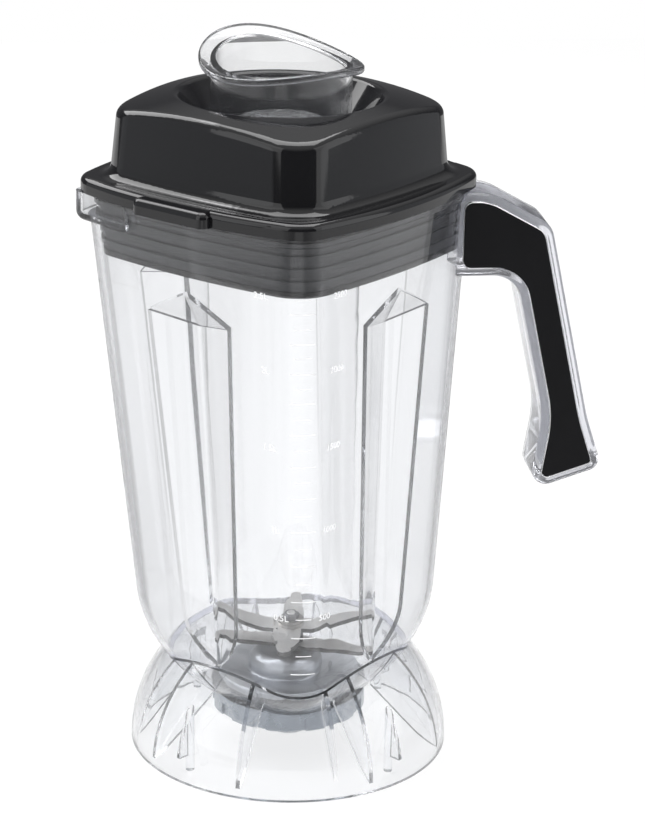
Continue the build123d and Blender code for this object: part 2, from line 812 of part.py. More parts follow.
for place, bearing_top in (("upper", upper_bearing_top), ("lower", lower_bearing_top)):
    bearing_middle = upright(0, bearing_top - bearing_width / 2)
    with BuildPart() as outer_ring:
        with BuildSketch(bearing_middle):
            add(race(bearing_radius - bearing_ring_thickness, bearing_radius - fit_gap))
        revolve(axis=Axis.Z)
    with BuildPart() as inner_ring:
        with BuildSketch(bearing_middle):
            add(race(shaft_radius + fit_gap, shaft_radius + bearing_ring_thickness))
        revolve(axis=Axis.Z)
    with BuildPart() as balls:
        with Locations(bearing_middle.origin):
            with PolarLocations(ball_circle, ball_count):
                Sphere(ball_radius)
    outer_ring.part.label = f"{place}_bearing_outer_ring"
    export_step(outer_ring.part, f"parts/{place}_bearing_outer_ring.step")
    inner_ring.part.label = f"{place}_bearing_inner_ring"
    export_step(inner_ring.part, f"parts/{place}_bearing_inner_ring.step")
    balls.part.label = f"{place}_bearing_balls"
    export_step(balls.part, f"parts/{place}_bearing_balls.step")

with BuildPart() as bearing_sleeve:
    with BuildSketch(Plane.XY.offset(lower_bearing_top)):
        add(ring(shaft_radius + fit_gap, sleeve_radius))
    extrude(amount=sleeve_length)
bearing_sleeve.part.label = "bearing_sleeve"
export_step(bearing_sleeve.part, "parts/bearing_sleeve.step")

with BuildPart() as circlip:
    with BuildSketch(Plane.XY.offset(circlip_top)):
        add(ring(bearing_radius - circlip_reach, bearing_radius + circlip_groove - fit_gap))
        with Locations((bearing_radius, 0)):
            Rectangle(circlip_reach * 4, circlip_reach * 2, mode=Mode.SUBTRACT)
    extrude(amount=-circlip_thickness)
circlip.part.label = "circlip"
export_step(circlip.part, "parts/circlip.step")

# Shaft with its collar, the flats that turn the blades, and the thread for the nut
with BuildPart() as blade_shaft:
    with BuildSketch(Plane.XY.offset(shaft_foot)):
        Circle(shaft_radius)
    extrude(amount=washer_level - shaft_foot)
    with BuildSketch(Plane.XY.offset(lower_blade_level)):
        Circle(shaft_radius * 2)
        Rectangle(shaft_radius * 4, shaft_flat * 2, mode=Mode.SUBTRACT)
    extrude(amount=washer_level - lower_blade_level, mode=Mode.SUBTRACT)
    with BuildSketch(Plane.XY.offset(washer_level)):
        Circle(thread_radius)
    extrude(amount=shaft_top - washer_level)
    with BuildSketch(Plane.XY.offset(lower_blade_level)):
        Circle(collar_radius)
    extrude(amount=-collar_height)
    chamfer(blade_shaft.edges().sort_by(Axis.Z)[-1], shaft_end)
blade_shaft.part.label = "blade_shaft"
export_step(blade_shaft.part, "parts/blade_shaft.step")

with BuildPart() as drive_socket:
    with BuildSketch(Plane.XY.offset(socket_foot)):
        Circle(socket_radius)
    extrude(amount=socket_height)
    chamfer(drive_socket.edges().filter_by(GeomType.CIRCLE), socket_chamfer)
    with BuildSketch(Plane.XY.offset(socket_foot)):
        for turn in (0, 30, 60):
            RegularPolygon(socket_tip_radius, 4, rotation=turn)
    extrude(amount=socket_depth, mode=Mode.SUBTRACT)
    with BuildSketch(Plane.XY.offset(socket_foot)):
        Circle(shaft_radius + fit_gap)
    extrude(amount=socket_height, mode=Mode.SUBTRACT)
drive_socket.part.label = "drive_socket"
export_step(drive_socket.part, "parts/drive_socket.step")

# Blades, with what holds them on the shaft
lower_middle = lower_blade_level + blade_thickness / 2
upper_middle = upper_blade_level + blade_thickness / 2
lower_wings = []
upper_wings = []
for half in (0, 180):
    lower_wings.append(wing(lower_blade_turn + half, lower_middle, -lower_blade_drop, blade_reach))
    upper_wings.append(wing(upper_blade_turn + half, upper_middle, upper_blade_rise, blade_reach))
    upper_wings.append(wing(upper_blade_turn + half + 90, upper_middle, flat_wing_rise, blade_reach))

for wings, blade_level, label in (
    (lower_wings, lower_blade_level, "lower_blade"),
    (upper_wings, upper_blade_level, "upper_blade"),
):
    with BuildPart() as blade:
        with BuildSketch(Plane.XY.offset(blade_level)):
            Circle(blade_hub_radius)
        extrude(amount=blade_thickness)
        for blade_wing in wings:
            add(blade_wing)
        with BuildSketch(Plane.XY.offset(blade_level)):
            add(blade_hole())
        extrude(amount=blade_thickness, mode=Mode.SUBTRACT)
    blade.part.label = label
    export_step(blade.part, f"parts/{label}.step")

with BuildPart() as blade_spacer:
    with BuildSketch(Plane.XY.offset(blade_spacer_level)):
        add(ring(shaft_radius + fit_gap, blade_spacer_radius))
    extrude(amount=blade_spacer_height)
blade_spacer.part.label = "blade_spacer"
export_step(blade_spacer.part, "parts/blade_spacer.step")

with BuildPart() as blade_washer:
    with BuildSketch(Plane.XY.offset(washer_level)):
        add(ring(thread_radius + fit_gap, washer_radius))
    extrude(amount=washer_height)
    with BuildSketch(Plane.XY.offset(washer_level + washer_height)):
        add(ring(thread_radius + fit_gap, washer_step_radius))
    extrude(amount=washer_step_height)
blade_washer.part.label = "blade_washer"
export_step(blade_washer.part, "parts/blade_washer.step")

with BuildPart() as blade_nut:
    with BuildSketch(Plane.XY.offset(nut_level)):
        RegularPolygon(nut_across_flats / 2, 6, major_radius=False)
    extrude(amount=nut_height)
    fillet(blade_nut.edges().group_by(Axis.Z)[-1], nut_round)
    with BuildSketch(Plane.XY.offset(nut_level)):
        Circle(thread_radius + fit_gap)
    extrude(amount=nut_height, mode=Mode.SUBTRACT)
blade_nut.part.label = "blade_nut"
export_step(blade_nut.part, "parts/blade_nut.step")
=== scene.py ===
"""Looks of a clear blender jar: its finishes, its printed scale, the studio and the camera."""

import json
import logging
import math
from dataclasses import dataclass, field
from enum import Enum
from typing import Any, Optional, Sequence, Union

import bpy
from mathutils import Matrix, Vector

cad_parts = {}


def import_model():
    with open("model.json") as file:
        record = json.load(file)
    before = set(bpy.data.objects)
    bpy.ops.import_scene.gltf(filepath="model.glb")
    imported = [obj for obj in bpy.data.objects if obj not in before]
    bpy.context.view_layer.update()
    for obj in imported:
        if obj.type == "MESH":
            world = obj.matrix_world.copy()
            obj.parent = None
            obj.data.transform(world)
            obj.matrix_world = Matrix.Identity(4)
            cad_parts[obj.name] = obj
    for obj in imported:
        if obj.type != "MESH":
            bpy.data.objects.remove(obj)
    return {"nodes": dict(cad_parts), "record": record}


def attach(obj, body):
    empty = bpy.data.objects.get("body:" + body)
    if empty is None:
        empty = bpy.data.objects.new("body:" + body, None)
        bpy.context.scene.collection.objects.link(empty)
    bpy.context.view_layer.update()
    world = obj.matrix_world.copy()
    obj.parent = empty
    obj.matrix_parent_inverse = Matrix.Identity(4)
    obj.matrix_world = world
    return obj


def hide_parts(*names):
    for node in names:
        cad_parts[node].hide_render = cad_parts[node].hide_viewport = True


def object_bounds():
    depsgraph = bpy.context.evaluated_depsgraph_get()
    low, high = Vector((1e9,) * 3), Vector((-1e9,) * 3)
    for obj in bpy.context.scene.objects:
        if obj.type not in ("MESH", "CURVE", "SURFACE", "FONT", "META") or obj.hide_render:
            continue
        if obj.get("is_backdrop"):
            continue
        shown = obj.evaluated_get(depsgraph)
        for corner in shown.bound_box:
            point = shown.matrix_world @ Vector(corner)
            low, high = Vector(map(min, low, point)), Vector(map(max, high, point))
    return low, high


LOG = logging.getLogger("blender_jar")
MM = 0.001
Colour = tuple[float, float, float]
Spot = tuple[float, float, float]
Number = Union["Wire", float]
WHITE: Colour = (1.0, 1.0, 1.0)


def solid(colour: Colour, tone: float = 1.0) -> tuple[float, ...]:
    """Gives a colour, made lighter or darker by a tone, as a colour socket takes it."""
    return (*(channel * tone for channel in colour), 1.0)


class Wire:
    """A shader socket that takes part in Python expressions."""

    def __init__(self, sheet: "Sheet", socket: bpy.types.NodeSocket) -> None:
        """Keeps the socket and the sheet that it is on."""
        self.sheet = sheet
        self.socket = socket

    def _maths(self, operation: str, first: Number, second: Number) -> "Wire":
        """Adds one Math node."""
        return self.sheet.node("ShaderNodeMath", {"operation": operation}, {0: first, 1: second})

    def __add__(self, other: Number) -> "Wire":
        """Adds."""
        return self._maths("ADD", self, other)

    def __radd__(self, other: Number) -> "Wire":
        """Adds to a number."""
        return self._maths("ADD", other, self)

    def __sub__(self, other: Number) -> "Wire":
        """Subtracts."""
        return self._maths("SUBTRACT", self, other)

    def __rsub__(self, other: Number) -> "Wire":
        """Subtracts from a number."""
        return self._maths("SUBTRACT", other, self)

    def __mul__(self, other: Number) -> "Wire":
        """Multiplies."""
        return self._maths("MULTIPLY", self, other)

    def __rmul__(self, other: Number) -> "Wire":
        """Multiplies a number."""
        return self._maths("MULTIPLY", other, self)

    def __truediv__(self, other: Number) -> "Wire":
        """Divides."""
        return self._maths("DIVIDE", self, other)

    def __rtruediv__(self, other: Number) -> "Wire":
        """Divides a number."""
        return self._maths("DIVIDE", other, self)

    def __abs__(self) -> "Wire":
        """Drops the sign."""
        return self._maths("ABSOLUTE", self, 0.0)

    def at_most(self, other: Number) -> "Wire":
        """Gives the smaller value."""
        return self._maths("MINIMUM", self, other)


class Sheet:
    """The node sheet of one material or of the world."""

    def __init__(self, tree: bpy.types.NodeTree) -> None:
        """Takes over a node tree and empties it."""
        self.tree = tree
        self.tree.nodes.clear()

    def node(
        self,
        kind: str,
        settings: Optional[dict[str, Any]] = None,
        inputs: Optional[dict[Union[str, int], Any]] = None,
        output: Union[str, int] = 0,
    ) -> Wire:
        """Adds any node.

        Args:
            kind: The node's type.
            settings: Its own settings; "stops" holds a ramp's places and colours.
            inputs: Values or wires for its sockets.
            output: The output that is wanted.

        Returns:
            That output, or the node's first input for a node with no outputs.
        """
        made = self.tree.nodes.new(kind)
        for name, value in (settings or {}).items():
            if name == "stops":
                self._set_stops(made, value)
            else:
                setattr(made, name, value)
        for name, value in (inputs or {}).items():
            if isinstance(value, Wire):
                self.tree.links.new(value.socket, made.inputs[name])
            else:
                made.inputs[name].default_value = value
        return Wire(self, made.outputs[output] if made.outputs else made.inputs[0])

    @staticmethod
    def _set_stops(ramp: bpy.types.Node, stops: Sequence[tuple[float, Colour]]) -> None:
        """Sets a colour ramp's stops.

        Args:
            ramp: The ramp's node.
            stops: The place and colour of each stop.
        """
        elements = ramp.color_ramp.elements
        elements.remove(elements[1])
        elements[0].position = stops[0][0]
        elements[0].color = solid(stops[0][1])
        for place, colour in stops[1:]:
            elements.new(place).color = solid(colour)

    def place(self) -> Wire:
        """Gives the place on the piece, in metres."""
        return self.node("ShaderNodeTexCoord", output="Object")

    def part(self, vector: Wire, axis: str) -> Wire:
        """Gives one part of a vector."""
        return self.node("ShaderNodeSeparateXYZ", inputs={"Vector": vector}, output=axis)

    def noise(self, scale: float, detail: float = 3.0, stretch: Optional[Spot] = None) -> Wire:
        """Adds a noise pattern on the piece's own place.

        Args:
            scale: Repeats per metre.
            detail: Finer layers.
            stretch: Scale along each axis, for brushed or drawn grain.

        Returns:
            The noise value.
        """
        vector = self.place()
        if stretch:
            vector = self.node("ShaderNodeMapping", inputs={"Vector": vector, "Scale": stretch})
        return self.node("ShaderNodeTexNoise", inputs={"Vector": vector, "Scale": scale, "Detail": detail})

    def ease(self, value: Wire, span: tuple[float, float], result: tuple[float, float]) -> Wire:
        """Maps a value's span softly to two results.

        Args:
            value: What is mapped.
            span: Where the change starts and ends.
            result: The values before and after it.

        Returns:
            The mapped value.
        """
        return self.node(
            "ShaderNodeMapRange",
            {"interpolation_type": "SMOOTHSTEP"},
            {
                "Value": value,
                "From Min": span[0],
                "From Max": span[1],
                "To Min": result[0],
                "To Max": result[1],
            },
        )

    def mix(self, factor: Wire, first: Any, second: Any) -> Wire:
        """Mixes two colours, of which the factor gives the second one's share."""
        inputs = {"Factor": factor, "A": first, "B": second}
        return self.node("ShaderNodeMix", {"data_type": "RGBA"}, inputs, "Result")

    def bump(self, height: Wire, distance: float) -> Wire:
        """Adds a bump from a height."""
        return self.node("ShaderNodeBump", inputs={"Height": height, "Distance": distance, "Strength": 1.0})


@dataclass(frozen=True)
class Finish:
    """What all the finishes share: a name, a colour and a gloss."""

    name: str
    colour: Colour
    roughness: float

    def mottle(self, sheet: Sheet, scale: float, tone: float) -> Wire:
        """Adds the colour with soft patches of a lighter or darker tone."""
        return sheet.mix(sheet.noise(scale), solid(self.colour), solid(self.colour, tone))

    def surface(self, sheet: Sheet) -> Wire:
        """Adds the finish's shader, which each kind of finish has its own."""
        raise NotImplementedError(self.name)

    def volume(self, sheet: Sheet) -> Optional[Wire]:
        """Adds what the inside does to light; most finishes have nothing there."""
        return None

    def material(self) -> bpy.types.Material:
        """Makes the finish's material.

        Returns:
            The material.
        """
        made = bpy.data.materials.new(self.name)
        made.use_nodes = True
        sheet = Sheet(made.node_tree)
        links: dict[Union[str, int], Any] = {"Surface": self.surface(sheet)}
        inside = self.volume(sheet)
        if inside is not None:
            links["Volume"] = inside
        sheet.node("ShaderNodeOutputMaterial", inputs=links)
        return made


@dataclass(frozen=True)
class ClearPlastic(Finish):
    """Clear moulded plastic, with the faint flow marks of moulding and a cool tint in its depth.

    A small share of the light goes straight through each face, so that light caught inside a wall
    gets out again, and most of a lamp's light passes, so that what is inside is lit. The index is
    lower than the plastic's own, because sharp edges would otherwise show as heavy dark lines.
    """

    ior: float = 1.42
    tint: Colour = (0.62, 0.63, 0.71)
    tint_density: float = 20.0
    wave: float = 0.00003
    wave_scale: float = 38.0
    haze_scale: float = 240.0
    straight_share: float = 0.09
    lamp_share: float = 0.88

    def surface(self, sheet: Sheet) -> Wire:
        """Adds a clear shader with a slightly wavy face.

        Args:
            sheet: The material's sheet.

        Returns:
            The shader.
        """
        flow = sheet.noise(self.wave_scale, detail=1.0)
        clear = sheet.node(
            "ShaderNodeBsdfPrincipled",
            inputs={
                "Base Color": solid(self.colour),
                "Roughness": sheet.noise(self.haze_scale) * self.roughness,
                "IOR": self.ior,
                "Transmission Weight": 1.0,
                "Normal": sheet.bump(flow, self.wave),
            },
        )
        straight = sheet.node("ShaderNodeBsdfTransparent", inputs={"Color": solid(self.colour)})
        lamp = sheet.node("ShaderNodeLightPath", output="Is Shadow Ray")
        share = lamp * (self.lamp_share - self.straight_share) + self.straight_share
        return sheet.node("ShaderNodeMixShader", inputs={0: share, 1: clear, 2: straight})

    def volume(self, sheet: Sheet) -> Optional[Wire]:
        """Adds the tint that long ways through the plastic pick up."""
        inputs = {"Color": solid(self.tint), "Density": self.tint_density}
        return sheet.node("ShaderNodeVolumeAbsorption", inputs=inputs)


@dataclass(frozen=True)
class GlossPlastic(Finish):
    """Polished moulded plastic or rubber, with a faint ripple and wiping marks in its gloss."""

    ior: float = 1.5
    ripple: float = 0.000004
    ripple_scale: float = 420.0
    wipe: float = 0.4
    wipe_scale: float = 26.0

    def surface(self, sheet: Sheet) -> Wire:
        """Adds the polished shader.

        Args:
            sheet: The material's sheet.

        Returns:
            The shader.
        """
        ripple = sheet.noise(self.ripple_scale, detail=2.0)
        wiped = sheet.noise(self.wipe_scale, detail=4.0) * (self.roughness * self.wipe)
        return sheet.node(
            "ShaderNodeBsdfPrincipled",
            inputs={
                "Base Color": solid(self.colour),
                "Roughness": self.roughness * (1.0 - self.wipe / 2.0) + wiped,
                "IOR": self.ior,
                "Normal": sheet.bump(ripple, self.ripple),
            },
        )


@dataclass(frozen=True)
class GrainedPlastic(Finish):
    """Matt plastic or ink with a fine spark-eroded grain and faint lighter patches."""

    grain_scale: float = 2600.0
    grain_depth: float = 0.00005
    grain_gloss: float = 0.12
    patch_scale: float = 60.0
    patch_tone: float = 1.5
    mirror: float = 0.5

    def tone(self, sheet: Sheet) -> Wire:
        """Adds the colour with its patches."""
        return self.mottle(sheet, self.patch_scale, self.patch_tone)

    def surface(self, sheet: Sheet) -> Wire:
        """Adds the matt shader with its grain.

        Args:
            sheet: The material's sheet.

        Returns:
            The shader.
        """
        grain = sheet.noise(self.grain_scale)
        return sheet.node(
            "ShaderNodeBsdfPrincipled",
            inputs={
                "Base Color": self.tone(sheet),
                "Roughness": self.roughness + (grain - 0.5) * self.grain_gloss,
                "Specular IOR Level": self.mirror,
                "Normal": sheet.bump(grain, self.grain_depth),
            },
        )


@dataclass(frozen=True)
class InlayPlastic(GrainedPlastic):
    """Matt plastic of the handle's inlays, whose back and sides, sunk in the clear frame, are painted pale:
    painted light for the brightness that the clear frame shows round them.
    """

    # film is a pale colour painted on the inlay's back and sides: painted light for the brightness seen
    # round the inlay through the clear frame.
    film: Colour = (0.96, 0.955, 0.94)
    film_edge: float = 14.0
    film_fade: float = 0.1

    def tone(self, sheet: Sheet) -> Wire:
        """Adds the pale colour, painted light, where the inlay is sunk in the frame.

        Args:
            sheet: The material's sheet.

        Returns:
            The colour.
        """
        across = abs(sheet.part(sheet.place(), "Y"))
        span = ((self.film_edge - self.film_fade) * MM, self.film_edge * MM)
        # Painted light: faces in the sunk band take the pale colour instead of the black.
        return sheet.mix(sheet.ease(across, span, (1.0, 0.0)), super().tone(sheet), solid(self.film))


@dataclass(frozen=True)
class Metal(Finish):
    """Metal with grain drawn out along one direction, or none for a cast or polished face.

    Steep faces can take painted shade, which makes cut steel's edges darker.
    """

    grain: Spot = (1.0, 1.0, 1.0)
    grain_scale: float = 900.0
    grain_depth: float = 0.00001
    grain_gloss: float = 0.14
    cloud_scale: float = 90.0
    cloud_tone: float = 0.82
    # The tone below darkens steep faces as painted shade; 1.0 leaves them unshaded.
    edge_tone: float = 1.0
    edge_span: tuple[float, float] = (0.35, 0.7)

    def tone(self, sheet: Sheet) -> Wire:
        """Adds the colour, clouded, with painted shade on its steep faces if it has it.

        Args:
            sheet: The material's sheet.

        Returns:
            The colour.
        """
        clouded = self.mottle(sheet, self.cloud_scale, self.cloud_tone)
        if self.edge_tone == 1.0:
            return clouded
        # Painted shade: the more a face's normal points sideways, the darker its colour.
        level = abs(sheet.part(sheet.node("ShaderNodeTexCoord", output="Normal"), "Z"))
        painted_shade_mask = sheet.ease(level, self.edge_span, (1.0, 0.0))
        return sheet.mix(painted_shade_mask, clouded, solid(self.colour, self.edge_tone))

    def surface(self, sheet: Sheet) -> Wire:
        """Adds the metal shader.

        Args:
            sheet: The material's sheet.

        Returns:
            The shader.
        """
        lines = sheet.noise(self.grain_scale, stretch=self.grain)
        return sheet.node(
            "ShaderNodeBsdfPrincipled",
            inputs={
                "Base Color": self.tone(sheet),
                "Metallic": 1.0,
                "Roughness": self.roughness + (lines - 0.5) * self.grain_gloss,
                "Normal": sheet.bump(lines, self.grain_depth),
            },
        )


class Slot(Enum):
    """The record's material slots."""

    CLEAR = "clear_plastic"
    LID = "lid_black"
    GRIP = "grip_black"
    SEAL = "seal_rubber"
    BLADE = "blade_steel"
    HOUSING = "housing_metal"
    BEARING = "bearing_steel"


FINISHES: dict[Slot, Finish] = {
    Slot.CLEAR: ClearPlastic("clear plastic", (0.985, 0.99, 0.995), 0.008),
    Slot.LID: GlossPlastic("polished black plastic", (0.006, 0.006, 0.007), 0.07),
    Slot.GRIP: InlayPlastic("matt black plastic", (0.006, 0.006, 0.007), 0.5, mirror=0.15),
    # Dark rubber, whose grey is partly a painted reflection of the clear wall in front of it.
    Slot.SEAL: GlossPlastic("dark rubber with painted reflection", (0.05, 0.051, 0.056), 0.22),
    # The blade's steep faces, its cut edges, are darkened with painted shade.
    Slot.BLADE: Metal("satin blade steel", (0.80, 0.79, 0.775), 0.4, (1.0, 8.0, 1.0), edge_tone=0.16),
    Slot.HOUSING: Metal("turned grey metal", (0.49, 0.51, 0.545), 0.34, (1.0, 1.0, 6.0)),
    Slot.BEARING: Metal("polished bearing steel", (0.62, 0.62, 0.63), 0.16),
}
NODE_FINISHES: dict[str, Finish] = {
    "blade_nut": Metal("dark nut steel", (0.26, 0.26, 0.27), 0.3),
    "blade_washer": Metal("turned washer steel", (0.46, 0.44, 0.42), 0.3),
    "retaining_ring": Metal("cool ring metal", (0.38, 0.41, 0.45), 0.26, grain_scale=140.0),
}
INK = GrainedPlastic("white ink", (0.88, 0.88, 0.89), 0.6, grain_scale=1800.0, grain_depth=0.00001)


class Bench:
    """Steps of modelling by hand that the pieces share."""

    @staticmethod
    def clear() -> None:
        """Leaves edit mode and selects nothing."""
        if bpy.context.object and bpy.context.object.mode != "OBJECT":
            bpy.ops.object.mode_set(mode="OBJECT")
        bpy.ops.object.select_all(action="DESELECT")

    @staticmethod
    def hold(piece: bpy.types.Object) -> None:
        """Selects one piece alone and makes it active.

        Args:
            piece: The piece.
        """
        Bench.clear()
        piece.select_set(True)
        bpy.context.view_layer.objects.active = piece

    @staticmethod
    def settle(piece: bpy.types.Object) -> None:
        """Puts a piece's place into its mesh."""
        Bench.hold(piece)
        bpy.ops.object.transform_apply(location=True, rotation=True, scale=True)

    @staticmethod
    def join(pieces: list[bpy.types.Object], name: str) -> bpy.types.Object:
        """Joins several pieces.

        Args:
            pieces: What is joined.
            name: The joined piece's name.

        Returns:
            The joined piece.
        """
        Bench.hold(pieces[0])
        for piece in pieces:
            piece.select_set(True)
        bpy.ops.object.join()
        pieces[0].name = name
        pieces[0].data.name = name
        return pieces[0]

    @staticmethod
    def dress(piece: bpy.types.Object, material: bpy.types.Material) -> None:
        """Gives a piece one material all over."""
        piece.data.materials.clear()
        piece.data.materials.append(material)


class Moulding:
    """Steps for pieces whose facets and seams would show if the CAD meshes were used as they are."""

    MERGE = 0.002

    @staticmethod
    def copy_of(source: bpy.types.Object, name: str) -> bpy.types.Object:
        """Copies a CAD node and merges its loose triangles.

        Args:
            source: The CAD node.
            name: The copy's name.

        Returns:
            The merged copy.
        """
        copy = bpy.data.objects.new(name, source.data.copy())
        copy.data.name = name
        bpy.context.scene.collection.objects.link(copy)
        Bench.hold(copy)
        bpy.ops.mesh.customdata_custom_splitnormals_clear()
        bpy.ops.object.mode_set(mode="EDIT")
        bpy.ops.mesh.select_all(action="SELECT")
        bpy.ops.mesh.remove_doubles(threshold=Moulding.MERGE * MM)
        bpy.ops.object.mode_set(mode="OBJECT")
        return copy

    @staticmethod
    def finish(
        piece: bpy.types.Object,
        crease: float,
        material: bpy.types.Material,
        slot: Slot,
        nodes: tuple[str, ...],
    ) -> None:
        """Smooths and dresses a moulding that stands for CAD nodes.

        Args:
            piece: The moulding.
            crease: The angle in degrees above which an edge stays sharp.
            material: Its finish.
            slot: Its material slot; not used.
            nodes: The nodes that it stands for.
        """
        Bench.hold(piece)
        bpy.ops.object.shade_smooth_by_angle(angle=math.radians(crease))
        Bench.dress(piece, material)
        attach(piece, "jar_body")
        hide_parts(*nodes)
        LOG.info("%s: %d faces", piece.name, len(piece.data.polygons))


@dataclass
class ClearJar:
    """The jar with its handle frame and its foot skirt, as one clear moulding without seams."""

    root_touch: float = 0.15
    root_depth: float = 1.5
    facing: float = -0.7
    crease: float = 11.0

    def sink_root(self, limb: bpy.types.Object, jar: bpy.types.Object) -> None:
        """Lengthens a limb's root into the jar's wall, so that the two can be fused.

        Args:
            limb: The handle frame or the skirt.
            jar: The jar.
        """
        Bench.hold(limb)
        bpy.ops.object.mode_set(mode="EDIT")
        bpy.ops.mesh.select_mode(type="FACE")
        bpy.ops.mesh.select_all(action="DESELECT")
        bpy.ops.object.mode_set(mode="OBJECT")
        for face in limb.data.polygons:
            _, _, normal, _ = jar.closest_point_on_mesh(face.center)
            corners = [limb.data.vertices[index].co for index in face.vertices]
            gaps = [(corner - jar.closest_point_on_mesh(corner)[1]).length for corner in corners]
            face.select = max(gaps) < self.root_touch * MM and normal.dot(face.normal) < self.facing
        bpy.ops.object.mode_set(mode="EDIT")
        sink = {"value": self.root_depth * MM}
        bpy.ops.mesh.extrude_region_shrink_fatten(TRANSFORM_OT_shrink_fatten=sink)
        bpy.ops.object.mode_set(mode="OBJECT")

    def build(self, nodes: dict[str, bpy.types.Object], material: bpy.types.Material) -> bpy.types.Object:
        """Fuses the three nodes.

        Args:
            nodes: The CAD nodes.
            material: The clear finish.

        Returns:
            The clear jar.
        """
        jar = Moulding.copy_of(nodes["jar"], "clear_jar")
        for name in ("handle_frame", "foot_skirt"):
            limb = Moulding.copy_of(nodes[name], f"{name}_copy")
            self.sink_root(limb, jar)
            Bench.hold(jar)
            fuse = jar.modifiers.new(name, "BOOLEAN")
            fuse.operation = "UNION"
            fuse.solver = "EXACT"
            fuse.object = limb
            bpy.ops.object.modifier_apply(modifier=fuse.name)
            Bench.hold(limb)
            bpy.ops.object.delete()
        Moulding.finish(jar, self.crease, material, Slot.CLEAR, ("jar", "handle_frame", "foot_skirt"))
        return jar


@dataclass
class ClearCap:
    """The filler cap, shaded smooth."""

    crease: float = 30.0

    def build(self, nodes: dict[str, bpy.types.Object], material: bpy.types.Material) -> None:
        """Copies the cap in its clear finish."""
        cap = Moulding.copy_of(nodes["filler_cap"], "clear_filler_cap")
        Moulding.finish(cap, self.crease, material, Slot.CLEAR, ("filler_cap",))


@dataclass
class Grips:
    """The two inlays of the handle, each with a thin gap of air round it, which the clear frame mirrors."""

    air: float = 0.12
    crease: float = 30.0

    def build(self, nodes: dict[str, bpy.types.Object], material: bpy.types.Material) -> None:
        """Copies both inlays, a little smaller than their pockets.

        Args:
            nodes: The CAD nodes.
            material: The matt finish.
        """
        for side in ("front", "rear"):
            grip = Moulding.copy_of(nodes[f"handle_grip_{side}"], f"{side}_grip")
            Bench.hold(grip)
            bpy.ops.object.mode_set(mode="EDIT")
            bpy.ops.mesh.select_all(action="SELECT")
            bpy.ops.transform.shrink_fatten(value=-self.air * MM)
            bpy.ops.object.mode_set(mode="OBJECT")
            Moulding.finish(grip, self.crease, material, Slot.GRIP, (f"handle_grip_{side}",))


